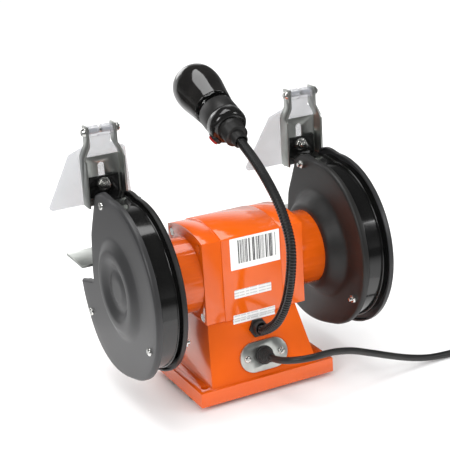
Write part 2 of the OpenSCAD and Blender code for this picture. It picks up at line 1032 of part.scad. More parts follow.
base_casting();
bottom_plate();
rubber_feet();
plate_screws();
motor_housing();
right_end_bell();
left_end_bell();
through_bolts();
stator_core();
windings();
rotor();
shaft();
bearings();
capacitor();
switch_body();
switch_rocker();
right_inner_guard();
left_inner_guard();
right_guard_band();
left_guard_band();
right_outer_guard();
left_outer_guard();
right_wheel();
left_wheel();
right_flanges();
left_flanges();
right_nut();
left_nut();
right_shield_tab();
left_shield_tab();
right_shield_bracket();
left_shield_bracket();
right_hinge_bolt();
left_hinge_bolt();
right_shield();
left_shield();
right_tool_rest();
left_tool_rest();
right_rest_arm();
left_rest_arm();
guard_screws();
cover_bolts();
clamp_bolts();
rest_bolts();
arm_screws();
neck_collar();
neck_part_1();
neck_part_2();
neck_part_3();
neck_part_4();
neck_part_5();
lamp_holder();
lamp_button();
bulb();
gland_plate();
gland_screws();
strain_relief();
cord();
cord_coil();
plug();
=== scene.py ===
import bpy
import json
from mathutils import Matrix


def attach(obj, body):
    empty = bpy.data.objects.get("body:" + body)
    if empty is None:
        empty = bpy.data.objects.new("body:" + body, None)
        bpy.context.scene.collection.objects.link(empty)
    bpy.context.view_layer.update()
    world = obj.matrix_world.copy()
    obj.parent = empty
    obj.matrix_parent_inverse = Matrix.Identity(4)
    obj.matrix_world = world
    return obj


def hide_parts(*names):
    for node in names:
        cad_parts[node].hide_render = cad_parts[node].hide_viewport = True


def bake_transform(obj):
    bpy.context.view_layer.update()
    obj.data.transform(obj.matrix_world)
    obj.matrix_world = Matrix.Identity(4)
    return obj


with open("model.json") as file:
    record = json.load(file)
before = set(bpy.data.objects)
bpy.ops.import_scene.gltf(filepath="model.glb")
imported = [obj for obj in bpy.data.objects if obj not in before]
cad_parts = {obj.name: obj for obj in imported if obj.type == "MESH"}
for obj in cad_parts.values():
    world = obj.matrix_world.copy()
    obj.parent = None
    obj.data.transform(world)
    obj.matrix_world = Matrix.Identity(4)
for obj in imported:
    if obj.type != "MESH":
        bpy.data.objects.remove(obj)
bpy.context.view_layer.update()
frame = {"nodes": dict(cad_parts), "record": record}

import json
import math

import bmesh
import bpy
import numpy as np
from mathutils import Matrix, Vector

# Sizes are in millimetres here, as in the part's source; make_mesh() turns them into metres.
MM = 0.001
SHAFT_HEIGHT = 124.0
SLOPE_TOP_Y, SLOPE_TOP_Z = 38, 82
LEAN = math.atan(12 / 62)
X = np.array([1.0, 0, 0])
Y = np.array([0, 1.0, 0])
Z = np.array([0, 0, 1.0])
SLOPE_OUT = np.array([0, math.cos(LEAN), math.sin(LEAN)])
NODE_BODY = {
    node: body
    for body, nodes in frame["record"]["behaviour"]["bodies"].items()
    for node in nodes
}
FINISHES = {}
SIDES = ((1, "right_"), (-1, "left_"))


def on_slope(x, z, out=0.0):
    """A point out from the sloping rear of the pedestal, at height z."""
    y = SLOPE_TOP_Y + (SLOPE_TOP_Z - z) * math.tan(LEAN)
    return np.array([x, y, z]) + out * SLOPE_OUT


# ---- camera and light: places in metres ----

CAMERA_ANGLES = (154.353, 19.444, -3.6)
CAMERA_PLACE = (0.5327, 1.0862, 0.5915)
CAMERA_LENS = 103.13
MIDDLE = (0, 0, 0.15)
SOFT_BOXES = (
    ("key light", (1.5, 0.9, 1.1), (0.6, 0.8), 11),
    ("fill light", (-1.3, 1.3, 0.9), (0.5, 0.5), 5),
    ("top light", (0.1, -0.2, 1.7), (1.2, 0.9), 12),
    ("front light", (0.2, -1.7, 0.9), (0.9, 0.7), 5),
)
TABLE_EDGE = 0.26
DOME = 4.0


def set_camera():
    """Camera above and behind the grinder, to its right-hand side, slightly rolled."""
    azimuth, elevation, roll = (math.radians(a) for a in CAMERA_ANGLES)
    back = Vector(
        (
            math.sin(azimuth) * math.cos(elevation),
            -math.cos(azimuth) * math.cos(elevation),
            math.sin(elevation),
        )
    )
    right = Vector((0, 0, 1)).cross(back).normalized()
    up = back.cross(right)
    side = right * math.cos(roll) + up * math.sin(roll)
    top = up * math.cos(roll) - right * math.sin(roll)
    placing = Matrix((side, top, back)).transposed().to_4x4()
    placing.translation = Vector(CAMERA_PLACE)
    camera = bpy.data.objects.new("camera", bpy.data.cameras.new("camera"))
    camera.data.sensor_width = 36
    camera.data.lens = CAMERA_LENS
    camera.data.clip_end = 50
    camera.matrix_world = placing
    bpy.context.collection.objects.link(camera)
    bpy.context.scene.camera = camera


def soft_box(name, place, size, power):
    """A rectangular soft light at place, turned to the middle of the object."""
    light = bpy.data.lights.new(name, "AREA")
    light.shape = "RECTANGLE"
    light.size, light.size_y = size
    light.energy = power
    lamp = bpy.data.objects.new(name, light)
    lamp.location = place
    lamp.rotation_euler = (Vector(MIDDLE) - Vector(place)).to_track_quat("-Z", "Y").to_euler()
    bpy.context.collection.objects.link(lamp)


def set_light():
    """A pale world and four soft boxes."""
    world = bpy.data.worlds.new("studio")
    world.use_nodes = True
    world.node_tree.nodes["Background"].inputs["Color"].default_value = (1, 1, 1, 1)
    world.node_tree.nodes["Background"].inputs["Strength"].default_value = 1.08
    bpy.context.scene.world = world
    bpy.context.scene.view_settings.view_transform = "Standard"
    for name, place, size, power in SOFT_BOXES:
        soft_box(name, place, size, power)


def make_surroundings():
    """What glossy surfaces reflect: a pale table round the object that darkens with distance,
    and a dark studio overhead. Rings of growing radius lie on the floor, then rise in a dome
    along a quarter circle."""
    reach = np.concatenate([np.linspace(TABLE_EDGE, 0.8, 24), np.linspace(0.9, DOME, 12)])
    up = np.radians(np.linspace(0, 90, 30))[1:]
    low = 0.0015
    profile = [(low, r) for r in reach]
    profile += [(DOME * math.sin(a), DOME * math.cos(a)) for a in up]
    rings = turned(np.array(profile) / MM, (0, 0, 0), Z, 96)
    shell = bpy.data.objects.new("dim_surroundings", make_mesh("dim_surroundings", [rings]))
    shell.data.materials.append(dim_studio())
    for ray in ("camera", "diffuse", "transmission", "volume_scatter", "shadow"):
        setattr(shell, "visible_" + ray, False)
    bpy.context.collection.objects.link(shell)


def dim_studio():
    """Glow of the surroundings: bright on the near table and in a sector in front of the
    operator's side, and dark elsewhere, a little less so low in the dome."""
    f = Finish("dim_studio")
    black, white = (0, 0, 0), (1, 1, 1)
    x, y, z = (f.axis(k) for k in range(3))
    away = f.math("SQRT", x * x + y * y)
    near = f.between(away, 0.38, 0.75, 1.0, 0.06)
    sector = f.between(-1.5 * f.math("ABSOLUTE", x) - y, -0.2, 0.4)
    table = f.math("MAXIMUM", near, 0.95 * sector)
    high = f.between(z, 1.3, 2.6, 1.0, 0.0) * sector * 0.85
    sky = high + f.between(z, 0.0, 1.2, 0.25, 0.06)
    shade = f.mix(z > 0.01, f.mix(table, black, white), f.mix(sky, black, white))
    glow = f.node("ShaderNodeEmission", (), {"Color": shade, "Strength": 1.0})
    f.node("ShaderNodeOutputMaterial", (), {"Surface": glow})
    return f.material


# ---- surfaces ----


def unit(v):
    """Vectors brought to length one."""
    return v / np.maximum(np.linalg.norm(v, axis=-1, keepdims=True), 1e-12)


def ease(t):
    """Smooth step from 0 to 1."""
    t = np.clip(t, 0, 1)
    return t * t * (3 - 2 * t)


def rounded(points, cut, steps=5, closed=True):
    """Each corner of a line becomes a quadratic curve from a cut before it to a cut after it."""
    p = np.asarray(points, float)
    cuts = np.broadcast_to(np.asarray(cut, float), len(p))
    before, after = np.roll(p, 1, axis=0), np.roll(p, -1, axis=0)
    la = np.linalg.norm(before - p, axis=1)
    lb = np.linalg.norm(after - p, axis=1)
    a = p + unit(before - p) * np.minimum(cuts, 0.48 * la)[:, None]
    b = p + unit(after - p) * np.minimum(cuts, 0.48 * lb)[:, None]
    t = np.linspace(0, 1, steps)[None, :, None]
    curve = (1 - t) ** 2 * a[:, None] + 2 * t * (1 - t) * p[:, None] + t**2 * b[:, None]
    if not closed:
        return np.vstack([p[:1], curve[1:-1].reshape(-1, p.shape[1]), p[-1:]])
    return curve.reshape(-1, p.shape[1])


def evenly(points, count):
    """count points at even steps along a closed line."""
    p = np.vstack([points, points[:1]])
    way = np.concatenate([[0], np.cumsum(np.linalg.norm(np.diff(p, axis=0), axis=1))])
    at = np.linspace(0, way[-1], count, endpoint=False)
    return np.stack([np.interp(at, way, p[:, k]) for k in range(p.shape[1])], 1)


def outward(points):
    """Normals of a closed line drawn anticlockwise."""
    along = unit(np.roll(points, -1, axis=0) - np.roll(points, 1, axis=0))
    return np.stack([along[:, 1], -along[:, 0]], 1)


def through(points, t):
    """Catmull-Rom curve through the points; t counts them, and both ends run straight on."""
    p = np.vstack([2 * points[0] - points[1], points, 2 * points[-1] - points[-2]])
    k = np.clip(np.floor(t).astype(int), 0, len(points) - 2)
    u = (t - k)[:, None]
    a, b, c, d = p[k], p[k + 1], p[k + 2], p[k + 3]
    return 0.5 * (
        2 * b
        + (c - a) * u
        + (2 * a - 5 * b + 4 * c - d) * u**2
        + (3 * b - a - 3 * c + d) * u**3
    )


def turned(profile, origin, axis, count=64):
    """A profile of (distance along the axis, radius) turned once round the axis."""
    s, r = np.asarray(profile, float).T
    axis = unit(np.asarray(axis, float))
    one = unit(np.cross(axis, X if abs(axis[0]) < 0.9 else Y))
    two = np.cross(axis, one)
    a = np.linspace(0, 2 * np.pi, count, endpoint=False)
    round_it = np.cos(a)[:, None] * one + np.sin(a)[:, None] * two
    grid = np.asarray(origin) + s[:, None, None] * axis + r[:, None, None] * round_it
    return grid, "v"


def tube(line, radius, count=12, phase=0.0):
    """A circle of the given radius carried along a line, turned as little as it goes."""
    along = unit(np.gradient(line, axis=0))
    side = unit(np.cross(along, Z + 1e-3 * X))
    over = np.cross(side, along)
    a = np.linspace(0, 2 * np.pi, count, endpoint=False) + phase
    ring = np.cos(a)[None, :, None] * side[:, None] + np.sin(a)[None, :, None] * over[:, None]
    radius = np.broadcast_to(np.asarray(radius, float), (len(line), count))
    return line[:, None] + radius[:, :, None] * ring, "v caps"


def plate(outline, low, high, place, edge=0.5, steps=4):
    """A flat outline given a thickness from low to high. Its rings are drawn in by a quarter
    circle of the edge's size at both faces; place turns (u, v, height) into a point."""
    normal = outward(outline)
    t = np.linspace(0, np.pi / 2, steps)
    inset, lift = edge * (1 - np.sin(t)), edge * (1 - np.cos(t))
    rings = list(zip(inset, low + lift)) + list(zip(inset[::-1], high - lift[::-1]))
    grid = np.stack([place(*(outline - i * normal).T, h) for i, h in rings])
    return grid, "v caps"


def facing(origin, u, v, w):
    """Places (u, v, height) on three directions from an origin."""
    return lambda a, b, h: origin + a[:, None] * u + b[:, None] * v + h * w


def slotted_head(origin, axis, radius, height, slot_way=0.3, slot=0.55, depth=0.9):
    """A domed screw head: chords across a disc, raised by a flattened dome, with the chords
    inside the slot's width let down. The flat underside closes it."""
    axis = unit(np.asarray(axis, float))
    one = unit(np.cross(axis, X if abs(axis[0]) < 0.9 else Y))
    two = np.cross(axis, one)
    one, two = (
        math.cos(slot_way) * one + math.sin(slot_way) * two,
        math.cos(slot_way) * two - math.sin(slot_way) * one,
    )
    edge = radius * np.sin(np.linspace(0, np.pi / 2, 9))[::-1]
    u = np.concatenate([-edge[edge > slot], [-slot, -slot, slot, slot], edge[edge > slot][::-1]])
    n = int((edge > slot).sum())
    low = np.zeros(len(u))
    low[n + 1 : n + 3] = depth
    v = np.sin(np.linspace(-np.pi / 2, np.pi / 2, 17))
    uu = np.repeat(u[:, None], 17, 1)
    vv = np.sqrt(np.maximum(radius**2 - u**2, 0))[:, None] * v[None]
    dome = height * np.maximum(1 - ((uu**2 + vv**2) / radius**2) ** 3, 0) ** 0.4
    top = np.minimum(dome, np.maximum(dome - low[:, None], 0.15 * dome))
    flat = np.asarray(origin) + uu[..., None] * one + vv[..., None] * two
    return [(flat + top[..., None] * axis, ""), (flat + 0 * axis, "")]


# ---- pieces ----


def make_mesh(name, grids):
    """Joins grids of points into one mesh. A grid is closed round v, round u, or both, and
    its first and last rings may be capped. Points that meet are merged, faces point out."""
    points, faces, start = [], [], 0
    for grid, close in grids:
        nu, nv = grid.shape[:2]
        u = np.arange(nu if "u" in close else nu - 1)
        v = np.arange(nv if "v" in close else nv - 1)
        a, b = (m.ravel() for m in np.meshgrid(u, v, indexing="ij"))
        c, d = (a + 1) % nu, (b + 1) % nv
        quads = np.stack([a * nv + b, c * nv + b, c * nv + d, a * nv + d], 1) + start
        faces += quads.tolist()
        if "caps" in close:
            faces += [list(range(start, start + nv))]
            faces += [list(range(start + (nu - 1) * nv, start + nu * nv))]
        points.append(grid.reshape(-1, 3))
        start += nu * nv
    mesh = bpy.data.meshes.new(name)
    mesh.from_pydata((np.vstack(points) * MM).tolist(), [], faces)
    tidy_mesh(mesh)
    return mesh


def tidy_mesh(mesh, flat=False, turn=True):
    """Merges doubles, rejoins flat faces where asked, and points every face outwards."""
    work = bmesh.new()
    work.from_mesh(mesh)
    bmesh.ops.remove_doubles(work, verts=work.verts, dist=2e-6)
    bmesh.ops.dissolve_degenerate(work, edges=work.edges, dist=1e-7)
    if flat:
        bmesh.ops.dissolve_limit(
            work, angle_limit=math.radians(0.5), verts=work.verts, edges=work.edges
        )
    if turn:
        bmesh.ops.recalc_face_normals(work, faces=work.faces)
    work.to_mesh(mesh)
    work.free()


def finish_piece(name, mesh, finish, body, nodes=(), sharp=38, even=False, slot=None):
    """Gives a mesh its finish and its body, and hides the CAD nodes that it stands for."""
    piece = bpy.data.objects.new(name, mesh)
    bpy.context.collection.objects.link(piece)
    mesh.materials.clear()
    mesh.materials.append(FINISHES[finish])
    mesh.shade_smooth()
    mesh.set_sharp_from_angle(angle=math.radians(sharp))
    if even:
        weigh = piece.modifiers.new("even shading", "WEIGHTED_NORMAL")
        weigh.keep_sharp = True
    if nodes:
        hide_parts(*nodes)
    if body:
        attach(piece, body)
    return piece


def surface(name, grids, finish, body, nodes=(), **more):
    """A new piece from one or several grids of points."""
    grids = [grids] if isinstance(grids, tuple) else grids
    return finish_piece(name, make_mesh(name, grids), finish, body, nodes, **more)


def eased(node, finish, width):
    """A CAD solid with its flat faces rejoined and its edges rounded over."""
    mesh = frame["nodes"][node].data.copy()
    tidy_mesh(mesh, flat=True, turn=False)
    piece = bpy.data.objects.new(node + "_eased", mesh)
    bpy.context.collection.objects.link(piece)
    mesh.materials.clear()
    mesh.materials.append(FINISHES[finish])
    mesh.shade_smooth()
    bevel = piece.modifiers.new("eased edges", "BEVEL")
    bevel.width = width * MM
    bevel.segments = 2
    bevel.limit_method = "ANGLE"
    bevel.angle_limit = math.radians(28)
    bevel.harden_normals = True
    bevel.use_clamp_overlap = True
    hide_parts(node)
    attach(piece, NODE_BODY[node])


# ---- finishes ----


class Value:
    """A number that changes over a surface. Arithmetic on it adds Math nodes."""

    def __init__(self, finish, socket):
        self.finish, self.socket = finish, socket

    def __add__(self, other):
        return self.finish.math("ADD", self, other)

    __radd__ = __add__

    def __mul__(self, other):
        return self.finish.math("MULTIPLY", self, other)

    __rmul__ = __mul__

    def __sub__(self, other):
        return self.finish.math("SUBTRACT", self, other)

    def __rsub__(self, other):
        return self.finish.math("SUBTRACT", other, self)

    def __gt__(self, other):
        return self.finish.math("GREATER_THAN", self, other)

    def __lt__(self, other):
        return self.finish.math("LESS_THAN", self, other)


class Finish:
    """The node tree of one material, with the textures that its finish is worked out from."""

    def __init__(self, name):
        self.material = bpy.data.materials.new(name)
        self.material.use_nodes = True
        self.tree = self.material.node_tree
        self.tree.nodes.clear()
        FINISHES[name] = self.material
        self.here = self.node("ShaderNodeTexCoord", output=3)

    def node(self, kind, settings=(), sockets=(), output=0):
        made = self.tree.nodes.new(kind)
        for key, value in dict(settings).items():
            setattr(made, key, value)
        for key, value in dict(sockets).items():
            if isinstance(value, Value):
                self.tree.links.new(value.socket, made.inputs[key])
            else:
                made.inputs[key].default_value = value
        return Value(self, made.outputs[output]) if made.outputs else None

    def math(self, operation, *values):
        return self.node("ShaderNodeMath", {"operation": operation}, dict(enumerate(values)))

    def axis(self, which):
        """One coordinate in metres: 0 along the shaft, 1 to the rear, 2 up."""
        return self.node("ShaderNodeSeparateXYZ", (), {0: self.here}, which)

    def stretched(self, scale, place=(0, 0, 0)):
        return self.node(
            "ShaderNodeMapping", (), {"Vector": self.here, "Location": place, "Scale": scale}
        )

    def noise(self, scale, detail=2.0, at=None, rough=0.5):
        return self.node(
            "ShaderNodeTexNoise",
            (),
            {"Vector": at or self.here, "Scale": scale, "Detail": detail, "Roughness": rough},
        )

    def cells(self, scale):
        return self.node("ShaderNodeTexVoronoi", (), {"Vector": self.here, "Scale": scale})

    def streaks(self, along, scale, detail):
        """Noise that changes along one line only."""
        sockets = {"W": along, "Scale": scale, "Detail": detail}
        return self.node("ShaderNodeTexNoise", {"noise_dimensions": "1D"}, sockets)

    def bands(self, settings, at=None, **sockets):
        """Height of a wave texture, as one number."""
        sockets["Vector"] = at or self.here
        return self.node("ShaderNodeTexWave", settings, sockets, 1)

    def between(self, value, low, high, a=0.0, b=1.0):
        """value from low to high, carried to a to b and held there."""
        sockets = {"Value": value, 1: low, 2: high, 3: a, 4: b}
        return self.node("ShaderNodeMapRange", (), sockets)

    def mix(self, share, one, two):
        one, two = ((*c, 1.0) if isinstance(c, tuple) else c for c in (one, two))
        return self.node("ShaderNodeMix", {"data_type": "RGBA"}, {0: share, 6: one, 7: two}, 2)

    def bump(self, height, depth):
        sockets = {"Height": height, "Distance": depth * MM, "Strength": 1.0}
        return self.node("ShaderNodeBump", (), sockets)

    def done(self, **looks):
        """The Principled shader; base_color and the rest name its sockets."""
        sockets = {}
        for key, value in looks.items():
            plain = isinstance(value, tuple)
            key = key.replace("_", " ").title().replace("Ior", "IOR")
            sockets[key] = (*value, 1.0) if plain else value
        shader = self.node("ShaderNodeBsdfPrincipled", (), sockets)
        self.node("ShaderNodeOutputMaterial", (), {"Surface": shader})
        return self.material


def enamel(name, colour, shade, rough, peel=0.02, coat=0.4):
    """Sprayed enamel: slow changes of shade, an orange-peel surface, soft spots in the gloss."""
    f = Finish(name)
    slow, fine = f.noise(14, 3), f.noise(620, 2)
    dust = f.between(f.noise(240, 5), 0.58, 0.8)
    base = f.mix(f.between(slow, 0.35, 0.7), colour, shade)
    f.done(
        base_color=base,
        roughness=rough + 0.10 * (slow - 0.5) + 0.08 * dust,
        coat_weight=coat,
        coat_roughness=0.06,
        normal=f.bump(fine, peel),
    )


def powder_coat(name, colour, shade, rough, grain=0.03):
    """Satin powder coat: a fine pebbled skin with slow changes of gloss."""
    f = Finish(name)
    slow, fine = f.noise(9, 3), f.noise(900, 3)
    specks = f.between(f.cells(700), 0.0, 0.25, 1.0, 0.0)
    f.done(
        base_color=f.mix(0.5 * slow + 0.4 * specks, colour, shade),
        roughness=rough + 0.12 * (slow - 0.5) + 0.05 * fine,
        normal=f.bump(fine + 0.4 * specks, grain),
    )


def plated(name, colour, shade, rough, scratch=0.012, spangle=0.0):
    """Zinc plate over steel: cloudy shade, faint spangle, and fine scratches along the sheet."""
    f = Finish(name)
    cloud = f.noise(60, 4)
    lines = f.noise(30, 4, f.stretched((1, 1, 40)), 0.7)
    base = f.mix(f.between(cloud, 0.3, 0.7), colour, shade)
    if spangle:
        base = f.mix(spangle, base, f.mix(f.cells(160), shade, colour))
    f.done(
        base_color=base,
        metallic=1.0,
        roughness=rough + 0.18 * (cloud - 0.5) + 0.14 * (lines - 0.5),
        normal=f.bump(lines, scratch),
    )


def turned_steel(name, colour, shade, rough, rings=2500.0):
    """Machined steel: fine turning marks along the shaft, with a slow stain."""
    f = Finish(name)
    marks = f.streaks(f.axis(0), rings, 3.0)
    stain = f.noise(45, 4)
    f.done(
        base_color=f.mix(f.between(stain, 0.35, 0.75), colour, shade),
        metallic=1.0,
        roughness=rough + 0.15 * (marks - 0.5) + 0.1 * (stain - 0.5),
        normal=f.bump(marks, 0.01),
    )


def moulded(name, colour, shade, rough, grain=0.02, **more):
    """Moulded plastic or rubber: an even, finely grained skin with faint rub marks."""
    f = Finish(name)
    fine, slow = f.noise(1500, 2), f.noise(40, 4)
    f.done(
        base_color=f.mix(f.between(slow, 0.3, 0.75), colour, shade),
        roughness=rough + 0.14 * (slow - 0.5) + 0.05 * fine,
        normal=f.bump(fine, grain),
        **more,
    )


def stone(name, grain, dark, light):
    """Bonded abrasive: packed grains of several shades with pits between them."""
    f = Finish(name)
    edge = f.cells(grain)
    grey = f.noise(grain * 0.7, 3)
    f.done(
        base_color=f.mix(f.between(grey, 0.3, 0.7), dark, light),
        roughness=0.8 + 0.15 * edge,
        normal=f.bump(edge + 0.6 * grey, 0.35),
    )


def laminated():
    """Stacked sheet steel: thin dark lines across the shaft."""
    f = Finish("core_steel")
    stripes = f.bands({"bands_direction": "X"}, Scale=320.0, Distortion=0.2)
    f.done(
        base_color=f.mix(stripes, (0.16, 0.16, 0.17), (0.42, 0.43, 0.45)),
        metallic=0.9,
        roughness=0.45 + 0.1 * stripes,
        normal=f.bump(stripes, 0.08),
    )


def wound_wire():
    """Varnished copper wire: close turns, each with its own shade."""
    f = Finish("copper")
    shaft = f.stretched((1, 1, 1), (0, 0, -SHAFT_HEIGHT * MM))
    rings = {"wave_type": "RINGS", "rings_direction": "X"}
    turns = f.bands(rings, shaft, Scale=160.0, Distortion=0.8)
    f.done(
        base_color=f.mix(turns, (0.25, 0.09, 0.03), (0.72, 0.33, 0.13)),
        metallic=0.8,
        roughness=0.32 + 0.12 * turns,
        normal=f.bump(turns, 0.3),
    )


def clear_sheet():
    """Clear moulded plastic, a little grey, with faint scuffs."""
    f = Finish("clear_plastic")
    scuff = f.between(f.noise(90, 5, f.stretched((1, 1, 4))), 0.5, 0.85)
    f.done(
        base_color=f.mix(scuff, (0.36, 0.37, 0.40), (0.41, 0.42, 0.45)),
        roughness=0.08 + 0.15 * scuff,
        alpha=0.42 + 0.03 * scuff,
        ior=1.47,
        normal=f.bump(f.noise(25, 2), 0.03),
    )


def painted_bulb():
    """Reflector bulb: black glossy coating on the head, with thin streaks in the lacquer."""
    f = Finish("black_glass")
    streak = f.noise(30, 3, f.stretched((1, 3, 1)))
    f.done(
        base_color=f.mix(streak, (0.004, 0.004, 0.004), (0.016, 0.015, 0.014)),
        roughness=0.07 + 0.08 * streak,
        coat_weight=0.6,
        coat_roughness=0.03,
        normal=f.bump(f.noise(45, 2), 0.02),
    )


def bulb_neck_glass():
    """Clear glass of the bulb's neck."""
    f = Finish("bulb_glass")
    f.done(
        base_color=(0.97, 0.98, 0.98),
        roughness=0.02 + 0.05 * f.noise(80, 3),
        ior=1.45,
        transmission_weight=1.0,
    )


LABEL_BARS = (-0.0235, 0.0190), (0.1395, 0.1635)


def printed_stripes():
    """White paper label with plain upright bars of several widths, for no code in particular."""
    f = Finish("striped_label")
    x, z = f.axis(0), f.axis(2)
    (left, right), (low, high) = LABEL_BARS
    bars = f.streaks(x, 760.0, 1.0) > 0.5
    ink = bars * (x > left) * (x < right) * (z > low) * (z < high)
    grain = f.noise(300, 4)
    paper = f.mix(grain, (0.86, 0.86, 0.85), (0.93, 0.93, 0.92))
    f.done(
        base_color=f.mix(ink, paper, (0.03, 0.03, 0.03)),
        roughness=0.42 + 0.12 * grain,
        normal=f.bump(grain, 0.01),
    )


def ruled_paper():
    """White paper label with faint grey broken rules, without lettering."""
    f = Finish("plain_label")
    rules = f.bands({"bands_direction": "Z"}, Scale=105.0)
    broken = f.streaks(f.axis(0), 420.0, 1.0)
    faint = (rules > 0.62) * (broken > 0.42) * 0.38
    grain = f.noise(300, 4)
    paper = f.mix(grain, (0.80, 0.80, 0.79), (0.88, 0.88, 0.87))
    f.done(
        base_color=f.mix(faint, paper, (0.16, 0.16, 0.17)),
        roughness=0.4 + 0.12 * grain,
        normal=f.bump(grain, 0.01),
    )


def floor_finish():
    """Pale matt floor with hardly any change of shade."""
    f = Finish("studio_floor")
    f.done(base_color=f.mix(f.noise(3, 2), (0.93, 0.93, 0.93), (0.95, 0.95, 0.95)), roughness=0.7)


def make_finishes():
    enamel("orange_enamel", (0.78, 0.118, 0.005), (0.74, 0.102, 0.004), 0.16)
    enamel("gloss_black", (0.005, 0.005, 0.005), (0.009, 0.009, 0.0085), 0.13, 0.012, 0.4)
    powder_coat("satin_cover", (0.026, 0.026, 0.027), (0.04, 0.04, 0.042), 0.36)
    powder_coat("black_paint", (0.010, 0.0098, 0.0095), (0.020, 0.0195, 0.019), 0.42)
    powder_coat("dark_steel", (0.05, 0.05, 0.055), (0.09, 0.09, 0.095), 0.42)
    plated("zinc_plate", (0.66, 0.68, 0.65), (0.48, 0.50, 0.475), 0.33, spangle=0.25)
    plated("bright_steel", (0.82, 0.82, 0.80), (0.66, 0.66, 0.63), 0.24)
    turned_steel("shaft_steel", (0.68, 0.68, 0.69), (0.5, 0.5, 0.5), 0.3)
    moulded("rubber", (0.016, 0.016, 0.016), (0.03, 0.029, 0.028), 0.55, 0.04)
    moulded("cord_rubber", (0.012, 0.012, 0.012), (0.022, 0.021, 0.02), 0.4, 0.02)
    moulded("neck_hose", (0.006, 0.006, 0.006), (0.012, 0.012, 0.012), 0.16, 0.01)
    moulded("black_plastic", (0.010, 0.0098, 0.0095), (0.019, 0.0185, 0.018), 0.36, 0.02)
    moulded("red_plastic", (0.34, 0.008, 0.006), (0.26, 0.006, 0.005), 0.25, 0.01)
    moulded("capacitor_case", (0.72, 0.72, 0.69), (0.6, 0.6, 0.57), 0.4, 0.02)
    stone("coarse_stone", 1300, (0.10, 0.10, 0.105), (0.34, 0.33, 0.33))
    stone("fine_stone", 2400, (0.16, 0.16, 0.17), (0.36, 0.36, 0.37))
    laminated()
    wound_wire()
    clear_sheet()
    painted_bulb()
    bulb_neck_glass()
    printed_stripes()
    ruled_paper()
    floor_finish()


# ---- mains cord ----

EXIT = on_slope(0, 40)
CORD_ROUTE = np.array(
    [
        EXIT + 17 * SLOPE_OUT,
        EXIT + 27 * SLOPE_OUT,
        (-1.9, 83, 47.6),
        (-7.3, 92.2, 49.9),
        (-15.5, 98.9, 51.6),
        (-25.6, 102.4, 52.6),
        (-36.6, 102.2, 52.4),
        (-52, 99.2, 50),
        (-74, 94.5, 43.4),
        (-98, 90.2, 33),
        (-122, 87, 22.4),
        (-146, 85.2, 13),
        (-170, 84.5, 6.4),
        (-194, 84.4, 3.8),
        (-217, 84.4, 3.5),
        (-240, 84.5, 3.5),
    ]
)
CORD_RADIUS = 3.5
COIL = np.array([-258, 126, 0])
COIL_EDGE, COIL_INNER = 41.5, 34.4
FIRST_LAYER, MIDDLE_LAYER, TOP_LAYER = 3.5, 9.7, 15.8
# How many turns are wound, with the radius and the height of the cord there.
COIL_STOPS = np.array(
    [
        (0, COIL_EDGE, FIRST_LAYER), (0.84, COIL_EDGE, FIRST_LAYER),
        (0.98, COIL_INNER, FIRST_LAYER), (1.70, COIL_INNER, FIRST_LAYER),
        (1.77, 35, 7.5), (1.84, 38, MIDDLE_LAYER), (2.70, 38, MIDDLE_LAYER),
        (2.84, COIL_INNER, TOP_LAYER), (3.50, COIL_INNER, TOP_LAYER),
        (3.64, COIL_EDGE, TOP_LAYER), (4.9, COIL_EDGE, TOP_LAYER),
    ]
)
LAST_TURN = 26.0
PLUG = np.array([-284, 114, 32.9])
PLUG_TAIL, PLUG_FACE = -22, 38


def cord_line():
    """The free route over the bench, then nearly five turns wound inwards, up and outwards,
    then a straight line off the coil and a half turn that rise together to the plug."""
    route = through(CORD_ROUTE, np.linspace(0, len(CORD_ROUTE) - 1, 150))
    low = PLUG[1] + PLUG_TAIL
    lean = math.asin((COIL_EDGE - LAST_TURN) / (COIL[1] - low))
    n = np.linspace(0.03, 4.75 + lean / (2 * np.pi), 420)
    soft = np.ones(13) / 13
    radius, height = (
        np.convolve(np.pad(np.interp(n, COIL_STOPS[:, 0], stops), 6, mode="edge"), soft, "valid")
        for stops in COIL_STOPS.T[1:]
    )
    angle = np.radians(270 - 360 * n)
    coil = COIL + np.stack([radius * np.cos(angle), radius * np.sin(angle), height], 1)
    a = np.linspace(-lean, -np.pi, 50)
    middle = np.array([PLUG[0] + LAST_TURN, low])
    half = middle + LAST_TURN * np.stack([np.cos(a), np.sin(a)], 1)
    start = coil[-1, :2]
    off = start + np.linspace(0, 1, 14)[1:-1, None] * (half[0] - start)
    rise = np.vstack([off, half])
    way = np.cumsum(np.linalg.norm(np.diff(np.vstack([start, rise]), axis=0), axis=1))
    lift = coil[-1, 2] + (PLUG[2] - coil[-1, 2]) * ease(way / way[-1])
    return np.vstack([route, coil, np.column_stack([rise, lift])])


def make_cord():
    """The mains cord, with its bushing and its plug."""
    line = cord_line()
    grid = tube(line, CORD_RADIUS, 14)
    cord = surface("mains_cord", grid, "cord_rubber", "frame", ("cord", "cord_coil"))
    strain_relief()
    plug, pins = make_plug()


def strain_relief():
    """Moulded bushing: a flanged barrel in the gland, then a taper cut by rings."""
    s = np.linspace(4.5, 16.8, 60)
    taper = 8.2 - 3.5 * (s - 4.5) / 12.5
    cut = 0.75 * (np.sin((s - 4.5) * 2 * np.pi / 2.5) > 0.1) * (s > 6) * (s < 16)
    flange = [(-5, 0), (-5, 8.2), (2.4, 8.2), (2.6, 9.4), (4.2, 9.4), (4.5, 8.9)]
    profile = np.vstack([flange, np.stack([s, taper - cut], 1), [(17, 4.2), (17, 0)]])
    grid = turned(profile, EXIT, SLOPE_OUT, 48)
    surface("cord_bushing", grid, "rubber", "frame", ("strain_relief",), sharp=30)


